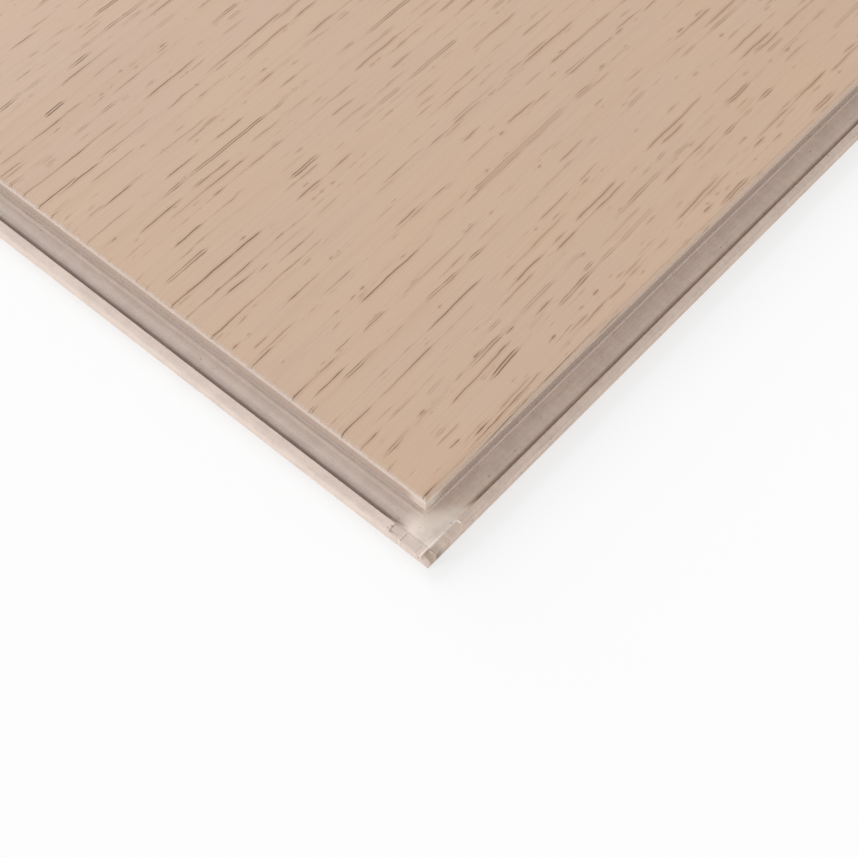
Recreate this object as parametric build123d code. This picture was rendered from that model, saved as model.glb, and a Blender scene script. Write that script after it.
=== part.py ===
from build123d import *
import os

os.makedirs("parts", exist_ok=True)

# One click flooring plank lying face up: X runs along the grain, Y across the plank, Z up.
# The origin is on the underside, below the middle of the visible face.
# All sizes are in millimetres.

# The plank
face_length = 1220.0        # joint line to joint line, along the grain
face_width = 183.0          # joint line to joint line, across the grain
plank_thickness = 5.0
face_layer_thickness = 0.57  # printed film under a clear wear layer
bevel = 0.7                 # 45 degree bevel round the face

# The groove edges, milled along the -Y side and the -X end
upper_lip = 2.65            # face down to the roof of the groove
groove_height = 0.65        # opening that takes the tongue
groove_depth = 2.05         # behind the joint line
floor_step = 0.1            # lower lip's floor below the groove's floor
channel_drop = 0.85         # locking channel below the level floor
channel_reach = 3.85        # joint line to the deepest line of the channel
channel_run = 0.5           # end of the level floor to that deepest line
ridge_run = 0.4             # that deepest line to the inner top edge of the locking ridge
ridge_rise = 0.4            # ridge top above the level floor

# The outer ends of the two lower lips
side_lip = 5.63             # joint line to the outer edge, long side
side_lip_slope = 0.12       # how far the outer face leans out, long side
side_shoulder = 0.25        # rounding of the ridge shoulder, long side
side_step_reach = 0.05      # joint line to the step in the floor, long side
side_step_run = 0.1         # width of that step, long side
end_lip = 5.95              # joint line to the outer edge, short end
end_lip_slope = 0.15
end_shoulder = 0.45
end_step_reach = 0.45
end_step_run = 0.42

# Fit of a plank in its neighbour
joint_clearance = 0.06

# Small roundings left by the cutters
edge_round = 0.12           # lip foot, ridge edge, channel root and groove arris
root_round = 0.25           # groove root
nose_round = 0.2            # tongue nose
floor_round = 0.6           # where the level floor turns down into the channel

# Reaches and heights that follow from the sizes above
flat_floor = channel_reach - channel_run
ridge_reach = channel_reach + ridge_run
groove_roof = plank_thickness - upper_lip
groove_floor = groove_roof - groove_height
floor_height = groove_floor - floor_step
channel_height = floor_height - channel_drop
ridge_height = floor_height + ridge_rise
core_thickness = plank_thickness - face_layer_thickness
tongue_roof = groove_roof - joint_clearance
tongue_floor = groove_floor + joint_clearance
tongue_reach = groove_depth - joint_clearance
leg_height = floor_height + joint_clearance
toe_height = channel_height + joint_clearance
hook_roof = ridge_height + joint_clearance


def milled_section(joint_span, lip, lip_slope, shoulder, step_reach, step_run):
    """Section across the plank: groove edge at the low end, tongue edge at the high end."""
    low = -joint_span / 2
    high = joint_span / 2
    lip_top = lip - lip_slope
    step_foot = step_reach + step_run

    # groove edge, from the lip foot round to the face
    lip_foot = (low - lip, 0)
    ridge_outer = (low - lip_top, ridge_height)
    ridge_inner = (low - ridge_reach, ridge_height)
    channel_root = (low - channel_reach, channel_height)
    floor_break = (low - flat_floor, floor_height)
    floor_start = (low - step_foot, floor_height)
    groove_sill = (low - step_reach, groove_floor)
    groove_low_root = (low + groove_depth, groove_floor)
    groove_high_root = (low + groove_depth, groove_roof)
    groove_arris = (low, groove_roof)
    groove_bevel = (low, plank_thickness - bevel)
    groove_face = (low + bevel, plank_thickness)

    # tongue edge, from the face round to the underside: the same form with the joint clearance
    tongue_face = (high - bevel, plank_thickness)
    tongue_bevel = (high, plank_thickness - bevel)
    tongue_root = (high, tongue_roof)
    nose_high = (high + tongue_reach, tongue_roof)
    nose_low = (high + tongue_reach, tongue_floor)
    tongue_sill = (high - step_reach, tongue_floor)
    leg_start = (high - step_foot, leg_height)
    leg_break = (high - flat_floor, leg_height)
    leg_toe = (high - channel_reach + joint_clearance, toe_height)
    hook_inner = (high - ridge_reach + joint_clearance, hook_roof)
    hook_outer = (high - lip_top - joint_clearance, hook_roof)
    rebate_foot = (high - lip - joint_clearance, 0)

    outline = Polyline(
        lip_foot,
        ridge_outer,
        ridge_inner,
        channel_root,
        floor_break,
        floor_start,
        groove_sill,
        groove_low_root,
        groove_high_root,
        groove_arris,
        groove_bevel,
        groove_face,
        tongue_face,
        tongue_bevel,
        tongue_root,
        nose_high,
        nose_low,
        tongue_sill,
        leg_start,
        leg_break,
        leg_toe,
        hook_inner,
        hook_outer,
        rebate_foot,
        close=True,
    )
    section = make_face(outline)
    rounded_corners = (
        (lip_foot, edge_round),
        (ridge_outer, shoulder),
        (ridge_inner, edge_round),
        (channel_root, edge_round),
        (floor_break, floor_round),
        (groove_low_root, root_round),
        (groove_high_root, root_round),
        (groove_arris, edge_round),
        (nose_high, nose_round),
        (nose_low, nose_round),
        (leg_break, floor_round),
        (leg_toe, edge_round),
        (hook_inner, edge_round),
    )
    for corner, radius in rounded_corners:
        vertex = section.vertices().sort_by_distance(corner)[0]
        section = fillet(vertex, radius=radius)
    return section


# Each pair of edges is milled in one straight pass over the whole plank,
# so the plank is what the two milled sections have in common.
side_section = milled_section(
    face_width, side_lip, side_lip_slope, side_shoulder, side_step_reach, side_step_run
)
end_section = milled_section(
    face_length, end_lip, end_lip_slope, end_shoulder, end_step_reach, end_step_run
)
side_pass_length = face_length + 2 * (end_lip + tongue_reach)
end_pass_length = face_width + 2 * (side_lip + tongue_reach)
side_pass = extrude(Plane.YZ * side_section, amount=side_pass_length / 2, both=True)
end_pass = extrude(Plane.XZ * end_section, amount=end_pass_length / 2, both=True)
milled_plank = side_pass & end_pass

# Where a tongue edge runs out through a lower lip the cutters free a crumb of core, which drops off.
plank = milled_plank.solids().sort_by(SortBy.VOLUME)[-1]

# The face layer is bonded flat on the core, and the bevel is cut through both.
glue_plane = Plane.XY.offset(core_thickness)
core_board = split(plank, bisect_by=glue_plane, keep=Keep.BOTTOM)
face_layer = split(plank, bisect_by=glue_plane, keep=Keep.TOP)

core_board.label = "core_board"
face_layer.label = "face_layer"
export_step(core_board, "parts/core_board.step")
export_step(face_layer, "parts/face_layer.step")
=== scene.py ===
import math

import bmesh
import bpy
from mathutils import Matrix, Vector


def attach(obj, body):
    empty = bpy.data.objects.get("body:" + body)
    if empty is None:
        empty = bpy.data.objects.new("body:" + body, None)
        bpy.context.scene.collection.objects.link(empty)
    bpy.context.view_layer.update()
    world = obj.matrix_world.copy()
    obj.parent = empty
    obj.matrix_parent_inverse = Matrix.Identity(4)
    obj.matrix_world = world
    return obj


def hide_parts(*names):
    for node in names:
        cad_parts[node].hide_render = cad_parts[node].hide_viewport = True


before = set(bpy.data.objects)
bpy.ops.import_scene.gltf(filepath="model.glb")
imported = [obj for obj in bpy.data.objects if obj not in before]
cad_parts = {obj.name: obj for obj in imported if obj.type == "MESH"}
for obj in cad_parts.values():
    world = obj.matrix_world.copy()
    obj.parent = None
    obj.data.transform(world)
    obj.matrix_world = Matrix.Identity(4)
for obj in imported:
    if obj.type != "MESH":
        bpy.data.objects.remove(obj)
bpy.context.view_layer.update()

# Milled board: a pressed stone-plastic sheet with its vinyl face bonded on, cut once along its sides and
# once along its ends. The cutters leave a groove over a lower lip with a locking channel and ridge on one
# edge of each pair, and the matching tongue on the other. It is drawn in millimetres.
face_length = 1220.0
face_width = 183.0
board_thickness = 5.0
bevel = 0.7
groove_roof = 2.35
groove_floor = 1.7
groove_depth = 2.05
lip_floor = 1.6
flat_floor = 3.35
channel_reach = 3.85
channel_height = 0.75
ridge_reach = 4.25
ridge_height = 2.0
joint_clearance = 0.06
side_pass_length = 1240
end_pass_length = 200

# how far each rounding starts from its corner
lip_foot_round = 0.15
ridge_round = 0.12
floor_round = 0.35
step_round = 0.03
root_round = 0.25
arris_round = 0.1
bevel_foot_round = 0.04
rim_round = 0.08
tongue_root_round = 0.05
nose_round = 0.2
hook_round = 0.1
heel_round = 0.05
rounding_steps = 5


def milled_outline(joint_span, lip, lip_slope, shoulder, step_reach, step_run):
    """Corners of the milled section: how far across, how high, and how far off the rounding starts."""
    low, high = -joint_span / 2, joint_span / 2
    lip_top = lip - lip_slope
    step_foot = step_reach + step_run
    play = joint_clearance
    groove_edge = [
        (low - lip, 0.0, lip_foot_round),
        (low - lip_top, ridge_height, shoulder),
        (low - ridge_reach, ridge_height, ridge_round),
        (low - channel_reach, channel_height, ridge_round),
        (low - flat_floor, lip_floor, floor_round),
        (low - step_foot, lip_floor, step_round),
        (low - step_reach, groove_floor, step_round),
        (low + groove_depth, groove_floor, root_round),
        (low + groove_depth, groove_roof, root_round),
        (low, groove_roof, arris_round),
        (low, board_thickness - bevel, bevel_foot_round),
        (low + bevel, board_thickness, rim_round),
    ]
    tongue_edge = [
        (high - bevel, board_thickness, rim_round),
        (high, board_thickness - bevel, bevel_foot_round),
        (high, groove_roof - play, tongue_root_round),
        (high + groove_depth - play, groove_roof - play, nose_round),
        (high + groove_depth - play, groove_floor + play, nose_round),
        (high - step_reach, groove_floor + play, step_round),
        (high - step_foot, lip_floor + play, step_round),
        (high - flat_floor, lip_floor + play, floor_round),
        (high - channel_reach + play, channel_height + play, hook_round),
        (high - ridge_reach + play, ridge_height + play, hook_round),
        (high - lip_top - play, ridge_height + play, hook_round),
        (high - lip - play, 0.0, heel_round),
    ]
    return groove_edge + tongue_edge


def run_cutters(name, outline, across, along, pass_length):
    """Draw the milled section point by point, round its corners and pull it out over the whole pass."""
    bpy.ops.object.select_all(action="DESELECT")
    bpy.ops.mesh.primitive_plane_add(size=1.0)
    board = bpy.context.object
    board.name = name
    corners = [across * c[0] + Vector((0, 0, c[1])) - along * pass_length / 2 for c in outline]
    bpy.ops.object.mode_set(mode="EDIT")
    bpy.ops.mesh.select_all(action="SELECT")
    bpy.ops.mesh.merge(type="CENTER")
    bpy.ops.transform.translate(value=corners[0])
    for here, there in zip(corners, corners[1:]):
        bpy.ops.mesh.extrude_region_move(TRANSFORM_OT_translate={"value": there - here})
    bpy.ops.mesh.select_all(action="SELECT")
    bpy.ops.mesh.edge_face_add()
    for spot, (_, _, rounding) in zip(corners, outline):
        drawing = bmesh.from_edit_mesh(board.data)
        for vertex in drawing.verts:
            vertex.select = (vertex.co - spot).length < 0.001
        drawing.select_flush_mode()
        bmesh.update_edit_mesh(board.data)
        bpy.ops.mesh.bevel(offset=rounding, segments=rounding_steps, affect="VERTICES")
    bpy.ops.mesh.select_all(action="SELECT")
    bpy.ops.mesh.extrude_region_move(TRANSFORM_OT_translate={"value": along * pass_length})
    bpy.ops.mesh.select_all(action="SELECT")
    bpy.ops.mesh.normals_make_consistent(inside=False)
    bpy.ops.object.mode_set(mode="OBJECT")
    return board


length_way = Vector((1, 0, 0))
width_way = Vector((0, 1, 0))
side_outline = milled_outline(
    face_width, lip=5.63, lip_slope=0.12, shoulder=0.25, step_reach=0.05, step_run=0.1
)
end_outline = milled_outline(
    face_length, lip=5.95, lip_slope=0.15, shoulder=0.45, step_reach=0.45, step_run=0.42
)
milled_board = run_cutters("side_pass", side_outline, width_way, length_way, side_pass_length)
end_pass = run_cutters("end_pass", end_outline, length_way, width_way, end_pass_length)

bpy.ops.object.select_all(action="DESELECT")
milled_board.select_set(True)
bpy.context.view_layer.objects.active = milled_board
meeting = milled_board.modifiers.new("second_pass", "BOOLEAN")
meeting.operation = "INTERSECT"
meeting.solver = "EXACT"
meeting.object = end_pass
bpy.ops.object.modifier_apply(modifier=meeting.name)
bpy.data.objects.remove(end_pass)

# crumbs that the two passes cut free drop off, and the largest piece is the plank
bpy.ops.object.mode_set(mode="EDIT")
bpy.ops.mesh.select_all(action="SELECT")
bpy.ops.mesh.separate(type="LOOSE")
bpy.ops.object.mode_set(mode="OBJECT")
loose_pieces = sorted(bpy.context.selected_objects, key=lambda piece: len(piece.data.vertices))
milled_board = loose_pieces.pop()
for crumb in loose_pieces:
    bpy.data.objects.remove(crumb)

# Milling dust: pale core dust packed into the ends of the two channels at the groove corner, and into the
# groove where it crosses the end ridge. It lies as the cutters left it, level with the floor by the corner
# and thinning out along each channel.
dust_level = 1.57
dust_bed = 0.6
dust_stations = 16
dust_on_ridge = 0.05
dust_on_floor = 0.32
dust_thinned = 0.95
low_x, low_y = -face_length / 2, -face_width / 2


def pack_dust(name, first_corner, last_corner, along, thin_out):
    """Press a bar of dust into a channel and let its far end run down to the channel bottom."""
    bpy.ops.object.select_all(action="DESELECT")
    bpy.ops.mesh.primitive_cube_add(size=1.0)
    bar = bpy.context.object
    bar.name = name
    low_corner, high_corner = Vector(first_corner), Vector(last_corner)
    bpy.ops.object.mode_set(mode="EDIT")
    bpy.ops.mesh.select_all(action="SELECT")
    bpy.ops.transform.resize(value=high_corner - low_corner)
    bpy.ops.transform.translate(value=(high_corner + low_corner) / 2)
    for station in range(1, dust_stations):
        bpy.ops.mesh.select_all(action="SELECT")
        station_co = low_corner.lerp(high_corner, station / dust_stations)
        bpy.ops.mesh.bisect(plane_co=station_co, plane_no=along)
    for vertex in bmesh.from_edit_mesh(bar.data).verts:
        vertex.co.z = low_corner.z + (vertex.co.z - low_corner.z) * (1 - thin_out(vertex.co))
    bmesh.update_edit_mesh(bar.data)
    bpy.ops.object.mode_set(mode="OBJECT")
    return bar


def ease(start, end, value):
    """Run smoothly from 0 at the start to 1 at the end."""
    share = min(max((value - start) / (end - start), 0.0), 1.0)
    return share * share * (3 - 2 * share)


def work_in(board, tool, operation):
    """Join a bar to the board, or cut it away. Flat triangles keep the board closed."""
    bpy.ops.object.select_all(action="DESELECT")
    board.select_set(True)
    bpy.context.view_layer.objects.active = board
    bpy.ops.object.mode_set(mode="EDIT")
    bpy.ops.mesh.select_all(action="SELECT")
    bpy.ops.mesh.quads_convert_to_tris(quad_method="BEAUTY", ngon_method="BEAUTY")
    bpy.ops.object.mode_set(mode="OBJECT")
    step = board.modifiers.new(operation.lower(), "BOOLEAN")
    step.operation = operation
    step.solver = "EXACT"
    step.object = tool
    bpy.ops.object.modifier_apply(modifier=step.name)
    bpy.data.objects.remove(tool)


side_dust = pack_dust(
    "side_dust",
    (low_x - 5.8, low_y - ridge_reach - dust_on_ridge, dust_bed),
    (low_x + 10.0, low_y - flat_floor + dust_on_floor, dust_level),
    length_way,
    lambda spot: dust_thinned * ease(low_x + 3.0, low_x + 9.6, spot.x),
)
end_dust = pack_dust(
    "end_dust",
    (low_x - ridge_reach - dust_on_ridge, low_y - 5.52, dust_bed),
    (low_x - flat_floor + dust_on_floor, low_y + 8.5, dust_level),
    width_way,
    lambda spot: dust_thinned * ease(low_y - 2.2, low_y + 8.2, spot.y),
)
crossing_dust = pack_dust(
    "crossing_dust",
    (low_x - 5.34, low_y + 0.02, 1.4),
    (low_x - 4.4, low_y + 2.4, 1.92),
    width_way,
    lambda spot: 0.46 * ease(low_y + 2.3, low_y - 0.4, spot.y),
)
for dust in (side_dust, end_dust, crossing_dust):
    work_in(milled_board, dust, "UNION")

# Knocked corner: the tip where the two lower lips meet is broken in handling. It is down level with the lip,
# and chipped aslant on both sides.
tip_x, tip_y = low_x - 5.18, low_y - 4.23
tip_height = 1.66
chip_near_x, chip_far_x = low_x - 4.05, low_x - 7.5
chip_near_y, chip_far_y = low_y - 4.23, low_y - 6.5
chip_top = 4.0
level_left = 0.03
steep_run, steep_turn = 0.908, 0.513
gentle_x, gentle_y = 0.538, 0.596


def knock_off(height_left):
    """Take off what stands above a plane at the tip of the groove corner."""
    bpy.ops.object.select_all(action="DESELECT")
    bpy.ops.mesh.primitive_cube_add(size=1.0)
    chip = bpy.context.object
    bpy.ops.object.mode_set(mode="EDIT")
    for vertex in bmesh.from_edit_mesh(chip.data).verts:
        spot_x = chip_near_x if vertex.co.x > 0 else chip_far_x
        spot_y = chip_near_y if vertex.co.y > 0 else chip_far_y
        spot_z = chip_top if vertex.co.z > 0 else height_left(spot_x - tip_x, spot_y - tip_y)
        vertex.co = Vector((spot_x, spot_y, spot_z))
    bmesh.update_edit_mesh(chip.data)
    bpy.ops.object.mode_set(mode="OBJECT")
    work_in(milled_board, chip, "DIFFERENCE")


knock_off(lambda from_x, from_y: tip_height + level_left)
knock_off(lambda from_x, from_y: tip_height + (from_x + steep_turn * from_y) / steep_run)
knock_off(lambda from_x, from_y: tip_height + gentle_x * from_x + gentle_y * from_y)

# each bevel is made one flat face again, so that the glue line cuts it clean
bpy.ops.object.mode_set(mode="EDIT")
bpy.ops.mesh.select_all(action="DESELECT")
drawing = bmesh.from_edit_mesh(milled_board.data)
for face in drawing.faces:
    if face.calc_center_median().z > board_thickness - bevel and 0.6 < face.normal.z < 0.8:
        face.select = True
bmesh.update_edit_mesh(milled_board.data)
bpy.ops.mesh.dissolve_limited(angle_limit=math.radians(0.5))
bpy.ops.object.mode_set(mode="OBJECT")

# the milled board is brought to metres
mm = 0.001
milled_board.scale = (mm, mm, mm)
bpy.ops.object.transform_apply(location=False, rotation=False, scale=True)

# Core board: limestone powder and PVC pressed into one rigid pale sheet, under the glued face.
# Its milled edges show fine cutter lines, faint chatter across the lips and dark specks of filler.
core_thickness = 4.43
core_colour = (0.700, 0.578, 0.509, 1)
side_colour = (0.682, 0.545, 0.462, 1)
wall_paint = (0.540, 0.422, 0.352, 1)
pale_cut_and_light = (0.880, 0.770, 0.700, 1)
dust_and_light_film = (0.840, 0.725, 0.640, 1)
highlight_white = (0.970, 0.930, 0.890, 1)
speck_brown = (0.20, 0.14, 0.10, 1)
chip_pale = (0.88, 0.80, 0.74, 1)
chip_and_shade_brown = (0.24, 0.14, 0.10, 1)
broken_tan = (0.46, 0.345, 0.245, 1)


def cut_sheet(source, name, keep_above):
    """Saw the milled board flat at the glue line and keep the part above or below it."""
    bpy.ops.object.select_all(action="DESELECT")
    source.select_set(True)
    bpy.context.view_layer.objects.active = source
    bpy.ops.object.duplicate()
    sheet = bpy.context.object
    sheet.name = name
    bpy.ops.object.mode_set(mode="EDIT")
    bpy.ops.mesh.select_all(action="SELECT")
    bpy.ops.mesh.bisect(
        plane_co=(0, 0, core_thickness * mm),
        plane_no=(0, 0, 1),
        clear_inner=keep_above,
        clear_outer=not keep_above,
        threshold=0.001 * mm,
    )
    bpy.ops.mesh.edge_face_add()
    bpy.ops.mesh.select_all(action="SELECT")
    bpy.ops.mesh.remove_doubles(threshold=0.001 * mm)
    bpy.ops.mesh.normals_make_consistent(inside=False)
    bpy.ops.object.mode_set(mode="OBJECT")
    return sheet


core_board = cut_sheet(milled_board, "core", keep_above=False)
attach(core_board, "root")
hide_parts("core_board")


def feed(finish, sockets, values):
    """Give each socket its plain value or its link."""
    for socket, value in zip(sockets, values):
        if isinstance(value, (int, float, tuple)):
            socket.default_value = value
        else:
            finish.links.new(value, socket)


def reckon(finish, operation, first, second=0.0, third=0.0):
    """One step of arithmetic in a finish, on sockets or plain numbers."""
    step = finish.nodes.new("ShaderNodeMath")
    step.operation = operation
    feed(finish, step.inputs, (first, second, third))
    return step.outputs[0]


def times(finish, first, *others):
    """Several values multiplied together."""
    for other in others:
        first = reckon(finish, "MULTIPLY", first, other)
    return first


def minus(finish, first, second):
    """One value less another."""
    return reckon(finish, "SUBTRACT", first, second)


def stretch(finish, value, factor, start):
    """A value times a factor, on top of a start."""
    return reckon(finish, "MULTIPLY_ADD", value, factor, start)


def most(finish, first, *others):
    """The largest of several values."""
    for other in others:
        first = reckon(finish, "MAXIMUM", first, other)
    return first


def spread(finish, value, low, high, to_low=0.0, to_high=1.0):
    """Ease a value from one range into another and hold it at the ends."""
    step = finish.nodes.new("ShaderNodeMapRange")
    step.interpolation_type = "SMOOTHSTEP"
    sockets = [step.inputs[name] for name in ("Value", "From Min", "From Max", "To Min", "To Max")]
    feed(finish, sockets, (value, low, high, to_low, to_high))
    return step.outputs["Result"]


def beside(finish, value, middle, rim, core):
    """1 where a value is within the core distance of the middle, 0 beyond the rim distance."""
    return spread(finish, reckon(finish, "ABSOLUTE", minus(finish, value, middle)), rim, core)


def place(finish, x, y, z=0.0):
    """A place in a pattern from three values."""
    step = finish.nodes.new("ShaderNodeCombineXYZ")
    feed(finish, step.inputs, (x, y, z))
    return step.outputs[0]


def grains(finish, x, long, y, wide, z=0.0, high=1.0):
    """A place measured in grains of the given length, width and height."""
    tall = z if isinstance(z, float) else reckon(finish, "DIVIDE", z, high)
    return place(finish, reckon(finish, "DIVIDE", x, long), reckon(finish, "DIVIDE", y, wide), tall)


def mottle(finish, where, detail=2.0, roughness=0.5):
    """Soft cloudy variation between about 0.3 and 0.7."""
    step = finish.nodes.new("ShaderNodeTexNoise")
    finish.links.new(where, step.inputs["Vector"])
    step.inputs["Scale"].default_value = 1.0
    step.inputs["Detail"].default_value = detail
    step.inputs["Roughness"].default_value = roughness
    return step.outputs["Fac"]


def tint(finish, amount, under, over):
    """Lay one colour over another by an amount."""
    step = finish.nodes.new("ShaderNodeMix")
    step.data_type = "RGBA"
    feed(finish, (step.inputs["Factor"], step.inputs[6], step.inputs[7]), (amount, under, over))
    return step.outputs[2]


def shade(finish, colour, factor):
    """Lighten or darken a colour by a factor that varies over the surface."""
    step = finish.nodes.new("ShaderNodeVectorMath")
    step.operation = "SCALE"
    finish.links.new(colour, step.inputs[0])
    finish.links.new(factor, step.inputs["Scale"])
    return step.outputs[0]


def plank_place(finish):
    """Where a point lies on the plank, in millimetres: along X, along Y, height."""
    seat = finish.nodes.new("ShaderNodeTexCoord")
    split = finish.nodes.new("ShaderNodeSeparateXYZ")
    finish.links.new(seat.outputs["Object"], split.inputs[0])
    return [times(finish, split.outputs[axis], 1000.0) for axis in range(3)]


stone_finish = bpy.data.materials.new("milled_stone_plastic")
stone_finish.use_nodes = True
stone = stone_finish.node_tree
stone_shader = stone.nodes["Principled BSDF"]
x, y, z = plank_place(stone)

# how far a point lies outside the joint line of its side and of its end, and which edge is nearer
side_out = minus(stone, reckon(stone, "ABSOLUTE", y), face_width / 2)
end_out = minus(stone, reckon(stone, "ABSOLUTE", x), face_length / 2)
on_end = reckon(stone, "GREATER_THAN", end_out, side_out)
on_side = minus(stone, 1.0, on_end)
at_groove_side = reckon(stone, "LESS_THAN", y, 0.0)
groove_corner = times(stone, reckon(stone, "LESS_THAN", x, 0.0), at_groove_side)
along_edge = reckon(stone, "ADD", times(stone, y, on_end), times(stone, x, on_side))
across_edge = reckon(stone, "ADD", times(stone, x, on_end), times(stone, y, on_side))

# cutter lines run along the nearer edge, in a cloudy, powdery core
wander = mottle(stone, place(stone, reckon(stone, "DIVIDE", along_edge, 5.0), across_edge, z))
wavy_across = stretch(stone, wander, 0.8, across_edge)
wavy_height = stretch(stone, wander, 0.8, z)
line_place = grains(stone, along_edge, 12.0, wavy_across, 0.35, wavy_height, 0.3)
cutter_lines = mottle(stone, line_place, detail=4.0, roughness=0.6)
cloud = mottle(stone, grains(stone, x, 3.0, y, 3.0, z, 1.5), detail=4.0)
powder = mottle(stone, grains(stone, x, 0.5, y, 0.5, z, 0.5), detail=3.0)
core_light = times(
    stone,
    spread(stone, cutter_lines, 0.3, 0.7, 0.95, 1.04),
    spread(stone, cloud, 0.3, 0.7, 0.95, 1.04),
    spread(stone, powder, 0.3, 0.7, 0.965, 1.03),
)

# the long cutter chatters, and leaves faint bars across the lip of the long side
chatter_pitch = 1.8
chatter_turn = stretch(stone, wander, 6.0, times(stone, x, 2 * math.pi / chatter_pitch))
chatter = times(stone, reckon(stone, "SINE", chatter_turn), on_side)
core_light = times(stone, core_light, stretch(stone, chatter, 0.015, 1.0))


def in_channel(out):
    """1 over the locking channel, by the distance outside the joint line."""
    return times(stone, spread(stone, out, 3.0, 3.5), spread(stone, out, 4.4, 4.15))


# the channel bottoms are painted darker as shade, the long one most
in_channels = most(stone, in_channel(side_out), in_channel(end_out))
painted_channel_shade = times(stone, in_channels, spread(stone, z, 1.55, 0.8), spread(stone, z, 0.3, 0.5))
painted_channel_shade = times(stone, painted_channel_shade, stretch(stone, on_side, 0.14, 0.08))
core_light = times(stone, core_light, minus(stone, 1.0, painted_channel_shade))

# painted light makes the floor paler at the foot of the long wall, and painted shade makes it darker along
# the end
on_floor = spread(stone, z, 1.78, 1.72)
painted_foot_light = times(stone, spread(stone, side_out, 1.3, 0.3), on_side, on_floor)
core_light = times(stone, core_light, stretch(stone, painted_foot_light, 0.11, 1.0))
inner_painted_shade = spread(stone, end_out, 0.8, 1.3, 0.0, 0.10)
outer_painted_shade = spread(stone, end_out, 2.1, 3.4, 0.0, 0.22)
end_floor_painted_shade = times(stone, reckon(stone, "ADD", inner_painted_shade, outer_painted_shade), spread(stone, end_out, 4.2, 4.0), on_floor)
core_light = times(stone, core_light, minus(stone, 1.0, end_floor_painted_shade))
core_tone = shade(stone, tint(stone, on_side, core_colour, side_colour), core_light)

# a tan smear of bevel paint on the walls under the bevel, worn off at the groove corner
below_end_bevel = spread(stone, times(stone, z, on_end), 4.28, 4.12)
on_wall = times(stone, spread(stone, z, 2.25, 2.45), below_end_bevel, stretch(stone, on_end, -0.15, 1.0))
from_corner = reckon(stone, "MINIMUM", side_out, end_out)
worn_wall = times(stone, groove_corner, spread(stone, from_corner, -4.2, -1.2))
smear = spread(stone, cutter_lines, 0.25, 0.5, 0.75, 1.0)
painted = times(stone, on_wall, minus(stone, 1.0, worn_wall), smear)
core_tone = tint(stone, painted, core_tone, wall_paint)

# painted light makes the groove's inside paler; the broken arrises of the sill and the wall are pale
# crumbled edges with a painted highlight
behind_joint = spread(stone, reckon(stone, "MAXIMUM", side_out, end_out), 0.05, -0.02)
groove_painted_light = times(stone, behind_joint, spread(stone, z, 2.42, 2.36))
crumbled = mottle(stone, grains(stone, x, 0.45, y, 0.45, z, 0.45), detail=3.0)
broken = spread(stone, crumbled, 0.38, 0.55)
sill_arris = times(stone, beside(stone, side_out, 0.05, 0.14, 0.05), spread(stone, z, 1.85, 1.75))
wall_arris = times(stone, on_side, at_groove_side, beside(stone, z, 4.28, 0.12, 0.04))
arrises = times(stone, most(stone, sill_arris, wall_arris), spread(stone, broken, 0.0, 1.0, 0.5, 0.85))
core_tone = tint(stone, most(stone, times(stone, groove_painted_light, 0.9), arrises), core_tone, pale_cut_and_light)

# a pale film of dust and painted light over the floor and the walls of the groove corner, and along the
# outer end face
near_corner = spread(stone, stretch(stone, minus(stone, y, low_y), 1.05, x), low_x + 2.5, low_x - 0.3)
near_corner = times(stone, near_corner, spread(stone, y, low_y + 3.0, low_y - 0.5))
inside_ridges = times(stone, spread(stone, side_out, 4.35, 4.1), spread(stone, end_out, 4.35, 3.6))
at_floor_height = times(stone, spread(stone, z, 2.4, 2.2), spread(stone, z, 0.9, 1.4))
corner_floor_dust_and_light = times(stone, near_corner, inside_ridges, at_floor_height)
corner_wall_dust_and_light = times(stone, worn_wall, 0.8, spread(stone, z, 2.2, 2.4))
end_face_dust_and_light = times(stone, on_end, spread(stone, end_out, 5.5, 5.85, 0.0, 0.28))
dust_and_painted_light = most(stone, corner_floor_dust_and_light, corner_wall_dust_and_light, end_face_dust_and_light)
dust_and_painted_light = times(stone, dust_and_painted_light, spread(stone, cloud, 0.3, 0.6, 0.55, 0.95))
core_tone = tint(stone, dust_and_painted_light, core_tone, dust_and_light_film)

# painted white highlights, broken into flecks, along the lit inner edge of the long ridge by the corner, and
# across it where the end groove's root cuts it
by_corner = times(stone, spread(stone, x, low_x + 2.3, low_x + 1.9), spread(stone, z, 1.45, 1.55))
ridge_highlight = times(stone, beside(stone, side_out, 3.93, 0.13, 0.03), by_corner)
over_ridge = times(stone, spread(stone, side_out, 3.8, 4.1), spread(stone, side_out, 5.2, 4.8))
root_step_highlight = times(stone, beside(stone, x, low_x + groove_depth, 0.13, 0.04), over_ridge)
painted_highlights = times(stone, most(stone, ridge_highlight, root_step_highlight), spread(stone, broken, 0.0, 1.0, 0.3, 0.72))
core_tone = tint(stone, painted_highlights, core_tone, highlight_white)

# specks of darker filler
speck_cells = stone.nodes.new("ShaderNodeTexVoronoi")
stone.links.new(place(stone, x, y, z), speck_cells.inputs["Vector"])
speck_cells.inputs["Scale"].default_value = 1.0
speck_pick = stone.nodes.new("ShaderNodeSeparateColor")
stone.links.new(speck_cells.outputs["Color"], speck_pick.inputs[0])
speck_here = reckon(stone, "GREATER_THAN", speck_pick.outputs[0], 0.75)
speck_spot = spread(stone, stretch(stone, powder, 0.25, speck_cells.outputs["Distance"]), 0.32, 0.19)
speck_depth = spread(stone, speck_pick.outputs[1], 0.3, 1.0, 0.12, 0.6)
core_tone = tint(stone, times(stone, speck_here, speck_spot, speck_depth), core_tone, speck_brown)


def near(spot, core, rim):
    """How close a point is to one spot: 1 inside the core radius, 0 beyond the rim."""
    gap = stone.nodes.new("ShaderNodeVectorMath")
    gap.operation = "DISTANCE"
    stone.links.new(place(stone, x, y, z), gap.inputs[0])
    gap.inputs[1].default_value = spot
    return spread(stone, gap.outputs["Value"], rim, core)
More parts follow.
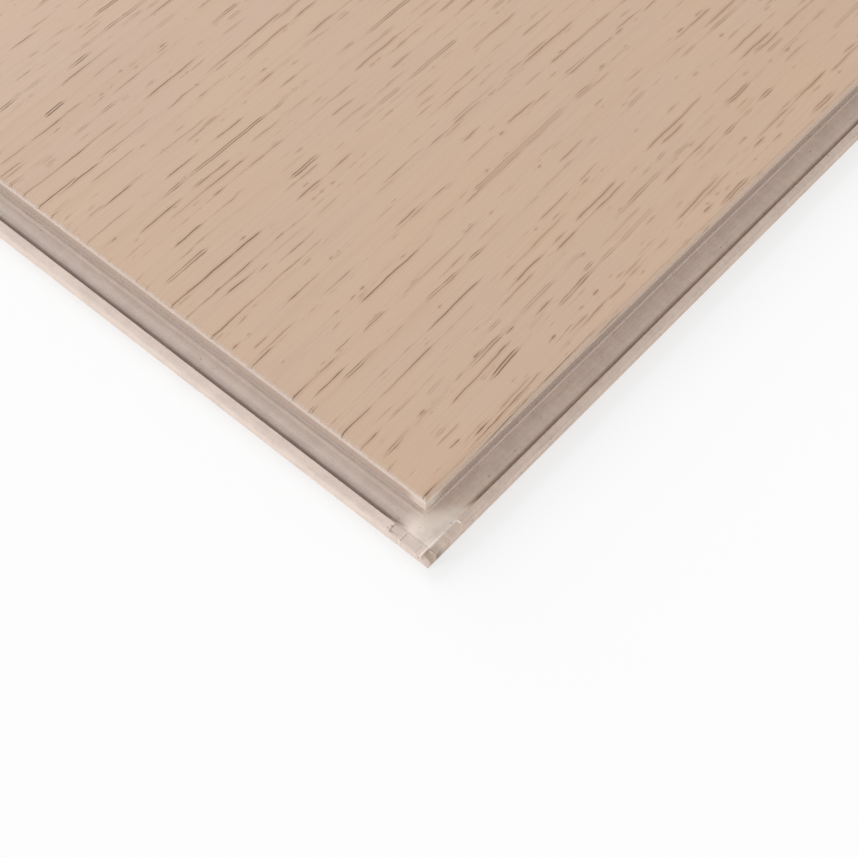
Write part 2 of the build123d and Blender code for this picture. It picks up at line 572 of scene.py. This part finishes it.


# the knocked corner: a pale chip on the wall, dark chips about it, a tan broken facet on the tip, and
# painted shade along the step at the facet's inner edge
pale_chip = times(stone, near((low_x + 1.5, low_y, 2.9), 0.2, 0.45), 0.8)
core_tone = tint(stone, pale_chip, core_tone, chip_pale)
dark_chips = (
    ((low_x + 1.4, low_y, 2.2), 0.22),
    ((low_x + 1.25, low_y - 3.75, 1.57), 0.2),
    ((low_x - 4.9, low_y + 2.1, 2.0), 0.28),
    ((low_x - 5.5, low_y + 2.4, 2.0), 0.18),
)
for spot, size in dark_chips:
    core_tone = tint(stone, times(stone, near(spot, size * 0.3, size), 0.6), core_tone, chip_and_shade_brown)
on_tip = times(stone, groove_corner, spread(stone, side_out, 4.2, 4.4))
facet_outer = spread(stone, x, low_x - 5.34, low_x - 5.22)
facet_inner = spread(stone, x, low_x - 3.9, low_x - 5.0)
core_tone = tint(stone, times(stone, facet_outer, facet_inner, on_tip, 0.7), core_tone, broken_tan)
# painted shade: a dark line along the step at the inner edge of the tip's facet
tip_shade_line = times(stone, beside(stone, x, low_x - 4.03, 0.11, 0.03), spread(stone, side_out, 5.4, 5.1))
core_tone = tint(stone, times(stone, tip_shade_line, on_tip, 0.5), core_tone, chip_and_shade_brown)

stone.links.new(core_tone, stone_shader.inputs["Base Color"])
stone_shader.inputs["Roughness"].default_value = 0.7
stone_shader.inputs["Specular IOR Level"].default_value = 0.3

core_grain = stone.nodes.new("ShaderNodeBump")
core_grain.inputs["Strength"].default_value = 0.4
core_grain.inputs["Distance"].default_value = 0.1 * mm
stone.links.new(stretch(stone, powder, 0.5, cutter_lines), core_grain.inputs["Height"])
stone.links.new(core_grain.outputs[0], stone_shader.inputs["Normal"])
core_board.data.materials.clear()
core_board.data.materials.append(stone_finish)

# Face layer: a film printed with pale oak under a clear matte wear layer, bonded on before milling.
# The print's pores are pressed in as fine dashes, and the bevel cuts through it down to the core.
oak_warm = (0.592, 0.418, 0.298, 1)
oak_pink = (0.580, 0.415, 0.308, 1)
oak_streak = (0.520, 0.352, 0.240, 1)
smudge_brown = (0.445, 0.275, 0.175, 1)
pore_brown = (0.165, 0.100, 0.064, 1)
bevel_cut_and_light = (0.690, 0.555, 0.478, 1)

face_layer = cut_sheet(milled_board, "face", keep_above=True)
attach(face_layer, "root")
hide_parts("face_layer")
bpy.data.objects.remove(milled_board)

oak_print = bpy.data.materials.new("printed_oak_face")
oak_print.use_nodes = True
oak = oak_print.node_tree
oak_shader = oak.nodes["Principled BSDF"]
x, y, z = plank_place(oak)

# the grain slants in at the groove end, straightens out and wanders along the plank
from_end = minus(oak, x, low_x)
sweep = times(oak, reckon(oak, "EXPONENT", reckon(oak, "DIVIDE", from_end, -90.0)), 4.5)
drift = mottle(oak, grains(oak, x, 160.0, y, 45.0), detail=1.0)
wriggle = mottle(oak, grains(oak, x, 5.0, y, 3.0), detail=1.5)
fray = mottle(oak, grains(oak, x, 1.1, y, 0.6), detail=1.0)
grain_y = reckon(oak, "ADD", y, sweep)
for wave, reach in ((drift, 7.0), (wriggle, 0.55), (fray, 0.10)):
    grain_y = stretch(oak, wave, reach, grain_y)


def pore_rows(pitch, dash, width, start, full, double, seed):
    """Rows of pores along the grain, broken into dashes that swell, taper and in some rows run double."""
    rows = oak.nodes.new("ShaderNodeTexVoronoi")
    rows.voronoi_dimensions = "1D"
    rows.inputs["Scale"].default_value = 1.0
    oak.links.new(reckon(oak, "ADD", reckon(oak, "DIVIDE", grain_y, pitch), seed), rows.inputs["W"])
    pick = oak.nodes.new("ShaderNodeSeparateColor")
    oak.links.new(rows.outputs["Color"], pick.inputs[0])
    own_x, own_y = times(oak, pick.outputs[0], 60.0), times(oak, pick.outputs[1], 60.0)
    run = mottle(oak, place(oak, reckon(oak, "DIVIDE", x, dash), own_x, own_y), detail=1.5)
    swell = most(oak, spread(oak, run, start, full), 0.02)
    smear = most(oak, spread(oak, run, start - 0.05, full), 0.02)
    from_row = times(oak, rows.outputs["Distance"], pitch)
    apart = times(oak, reckon(oak, "LESS_THAN", pick.outputs[2], double), width * 1.2)
    from_dash = reckon(oak, "ABSOLUTE", minus(oak, from_row, apart))
    dark = spread(oak, reckon(oak, "DIVIDE", from_dash, times(oak, swell, width)), 1.0, 0.1)
    halo = spread(oak, reckon(oak, "DIVIDE", from_row, times(oak, smear, 3.8 * width)), 1.0, 0.0)
    worn = mottle(oak, place(oak, reckon(oak, "DIVIDE", x, 2.2 * dash), own_y, own_x), detail=1.0)
    strength = spread(oak, worn, 0.35, 0.62, 0.3, 1.0)
    return times(oak, dark, strength), times(oak, halo, strength)


main_dark, main_halo = pore_rows(2.5, dash=9.0, width=0.20, start=0.505, full=0.60, double=0.25, seed=3.7)
fine_dark, fine_halo = pore_rows(2.4, dash=5.0, width=0.16, start=0.57, full=0.68, double=0.1, seed=41.2)
dot_dark, dot_halo = pore_rows(3.4, dash=3.0, width=0.20, start=0.64, full=0.74, double=0.0, seed=87.5)

# the print is strongest by the groove end
fresh = spread(oak, from_end, 0.0, 75.0, 1.1, 0.6)
deep_pores = times(oak, most(oak, main_dark, dot_dark, times(oak, fine_dark, 0.7)), fresh)
halos = times(oak, most(oak, main_halo, dot_halo, times(oak, fine_halo, 0.6)), 0.54)

blotch = mottle(oak, grains(oak, x, 40.0, grain_y, 14.0), detail=3.0)
streak = mottle(oak, grains(oak, x, 70.0, grain_y, 2.6), detail=4.0)
fibre = mottle(oak, grains(oak, x, 14.0, grain_y, 0.25), detail=3.0)
broad = mottle(oak, grains(oak, x, 320.0, grain_y, 26.0), detail=2.0)

oak_tone = tint(oak, spread(oak, blotch, 0.35, 0.65), oak_warm, oak_pink)
oak_tone = tint(oak, spread(oak, streak, 0.48, 0.8, 0.0, 0.34), oak_tone, oak_streak)
broad_share = times(oak, spread(oak, broad, 0.42, 0.66), spread(oak, from_end, 60.0, 320.0, 0.1, 0.55))
oak_tone = tint(oak, broad_share, oak_tone, oak_streak)
oak_tone = shade(oak, oak_tone, spread(oak, fibre, 0.3, 0.7, 0.98, 1.02))
oak_tone = tint(oak, halos, oak_tone, smudge_brown)
oak_tone = tint(oak, times(oak, deep_pores, 0.85), oak_tone, pore_brown)

# the print runs on over the bevel: a shade darker along the long rims, and painted paler on the groove
# side's long bevel as painted light
side_in = minus(oak, face_width / 2 - bevel, reckon(oak, "ABSOLUTE", y))
end_in = minus(oak, face_length / 2 - bevel, reckon(oak, "ABSOLUTE", x))
ragged = mottle(oak, grains(oak, x, 0.8, y, 0.8), detail=4.0, roughness=0.6)
side_line = stretch(oak, ragged, 0.3, side_in)
end_line = stretch(oak, ragged, 0.8, end_in)
oak_tone = shade(oak, oak_tone, spread(oak, side_line, 1.10, 0.40, 1.0, 0.98))
painted_bevel_light = times(oak, spread(oak, side_line, 0.20, 0.05), reckon(oak, "LESS_THAN", y, 0.0))
oak_tone = shade(oak, oak_tone, stretch(oak, painted_bevel_light, 0.36, 1.0))
oak_tone = tint(oak, times(oak, painted_bevel_light, 0.3), oak_tone, bevel_cut_and_light)

# one long grain line runs out over the long bevel by the groove corner
rim_line_y = stretch(oak, from_end, 0.0267, low_y - 0.06)
from_rim_line = reckon(oak, "ABSOLUTE", minus(oak, stretch(oak, fray, 0.12, y), rim_line_y))
rim_run = times(oak, spread(oak, from_end, 5.0, 14.0), spread(oak, from_end, 46.0, 34.0))
rim_line = times(oak, spread(oak, from_rim_line, 0.14, 0.02), rim_run)
rim_line = times(oak, rim_line, spread(oak, wriggle, 0.35, 0.6, 0.2, 0.62))
oak_tone = tint(oak, rim_line, oak_tone, pore_brown)

# across the ends the bevel is pale and chipped
oak_tone = tint(oak, spread(oak, end_line, 0.45, 0.20, 0.0, 0.25), oak_tone, bevel_cut_and_light)
oak_tone = tint(oak, spread(oak, end_line, 0.06, -0.08), oak_tone, bevel_cut_and_light)
oak.links.new(oak_tone, oak_shader.inputs["Base Color"])
oak_shader.inputs["Roughness"].default_value = 0.55
oak_shader.inputs["Specular IOR Level"].default_value = 0.3

pressed_grain = oak.nodes.new("ShaderNodeBump")
pressed_grain.inputs["Strength"].default_value = 0.5
pressed_grain.inputs["Distance"].default_value = 0.06 * mm
oak.links.new(minus(oak, times(oak, fibre, 0.15), deep_pores), pressed_grain.inputs["Height"])
oak.links.new(pressed_grain.outputs[0], oak_shader.inputs["Normal"])
face_layer.data.materials.clear()
face_layer.data.materials.append(oak_print)

# Floor: a plain white studio sheet that the plank lies on. It keeps the plank's soft shadow and looks white
# to the eye and in gloss, and it glows faintly for light bouncing off it, throwing more light on the plank.
bpy.ops.object.select_all(action="DESELECT")
bpy.ops.mesh.primitive_plane_add(size=8.0)
floor = bpy.context.object
floor.name = "studio_floor"
white_sheet = bpy.data.materials.new("white_sheet")
white_sheet.use_nodes = True
sheet = white_sheet.node_tree
sheet_shader = sheet.nodes["Principled BSDF"]
sheet_shader.inputs["Base Color"].default_value = (0.95, 0.95, 0.95, 1)
sheet_shader.inputs["Roughness"].default_value = 0.9
sheet_shader.inputs["Specular IOR Level"].default_value = 0.0
sheet_shader.inputs["Emission Color"].default_value = (1, 1, 1, 1)
glow = sheet.nodes.new("ShaderNodeEmission")
glow.inputs["Color"].default_value = (1, 1, 1, 1)
glow.inputs["Strength"].default_value = 1.0
seen = sheet.nodes.new("ShaderNodeLightPath")
seen_rays = [seen.outputs[ray] for ray in ("Is Glossy Ray", "Is Transmission Ray", "Is Camera Ray")]
seen_share = most(sheet, *seen_rays)
whiten = sheet.nodes.new("ShaderNodeMixShader")
sheet.links.new(times(sheet, seen_share, 0.6), whiten.inputs[0])
# painted light: the sheet glows though it is no lamp, for light bouncing off it onto the plank
unseen_glow = times(sheet, minus(sheet, 1.0, seen_share), 0.3)
sheet.links.new(unseen_glow, sheet_shader.inputs["Emission Strength"])
sheet.links.new(sheet_shader.outputs[0], whiten.inputs[1])
sheet.links.new(glow.outputs[0], whiten.inputs[2])
sheet.links.new(whiten.outputs[0], sheet.nodes["Material Output"].inputs["Surface"])
floor.data.materials.append(white_sheet)

# Studio light: an even white room, one broad soft lamp low behind the plank and a weaker one off its end.
# The room looks fully white to the camera, and lights the plank at two thirds of that.
room_light = 0.67
room = bpy.data.worlds.new("white_room")
bpy.context.scene.world = room
room.use_nodes = True
walls = room.node_tree
walls_glow = walls.nodes["Background"]
walls_glow.inputs["Color"].default_value = (1, 1, 1, 1)
walls_seen = walls.nodes.new("ShaderNodeLightPath").outputs["Is Camera Ray"]
walls.links.new(stretch(walls, walls_seen, 1 - room_light, room_light), walls_glow.inputs["Strength"])


def hang_lamp(name, heading, height, softness, energy):
    """A far soft lamp at a heading from the plank's length and a height above the floor, in degrees."""
    lamp_data = bpy.data.lights.new(name, "SUN")
    lamp_data.angle = math.radians(softness)
    lamp_data.energy = energy
    lamp = bpy.data.objects.new(name, lamp_data)
    bpy.context.scene.collection.objects.link(lamp)
    turn, rise = math.radians(heading), math.radians(height)
    level = math.cos(rise)
    lamp_way = Vector((math.cos(turn) * level, math.sin(turn) * level, math.sin(rise)))
    lamp.rotation_euler = lamp_way.to_track_quat("Z", "Y").to_euler()


hang_lamp("back_lamp", heading=72, height=17, softness=30, energy=2.6)
hang_lamp("end_lamp", heading=135, height=20, softness=30, energy=0.9)

# Camera: close over the groove corner, as in the photograph, looking down along both edges of the plank.
# It is aimed at a spot on the face a little way in from the corner.
bpy.context.scene.view_settings.view_transform = "Standard"
corner = Vector((low_x, low_y, board_thickness)) * mm
aim = corner + Vector((9.66, 7.88, 0)) * mm
view_azimuth = math.radians(-48.64)
view_elevation = math.radians(56.2)
view_distance = 241.8 * mm
camera_data = bpy.data.cameras.new("camera")
camera_data.sensor_width = 36
camera_data.lens = 69.1
camera_data.clip_start = 0.01
camera = bpy.data.objects.new("camera", camera_data)
bpy.context.scene.collection.objects.link(camera)
level = math.cos(view_elevation)
back = Vector((math.sin(view_azimuth) * level, -math.cos(view_azimuth) * level, math.sin(view_elevation)))
camera.location = aim + back * view_distance
camera.rotation_euler = back.to_track_quat("Z", "Y").to_euler()
bpy.context.scene.camera = camera
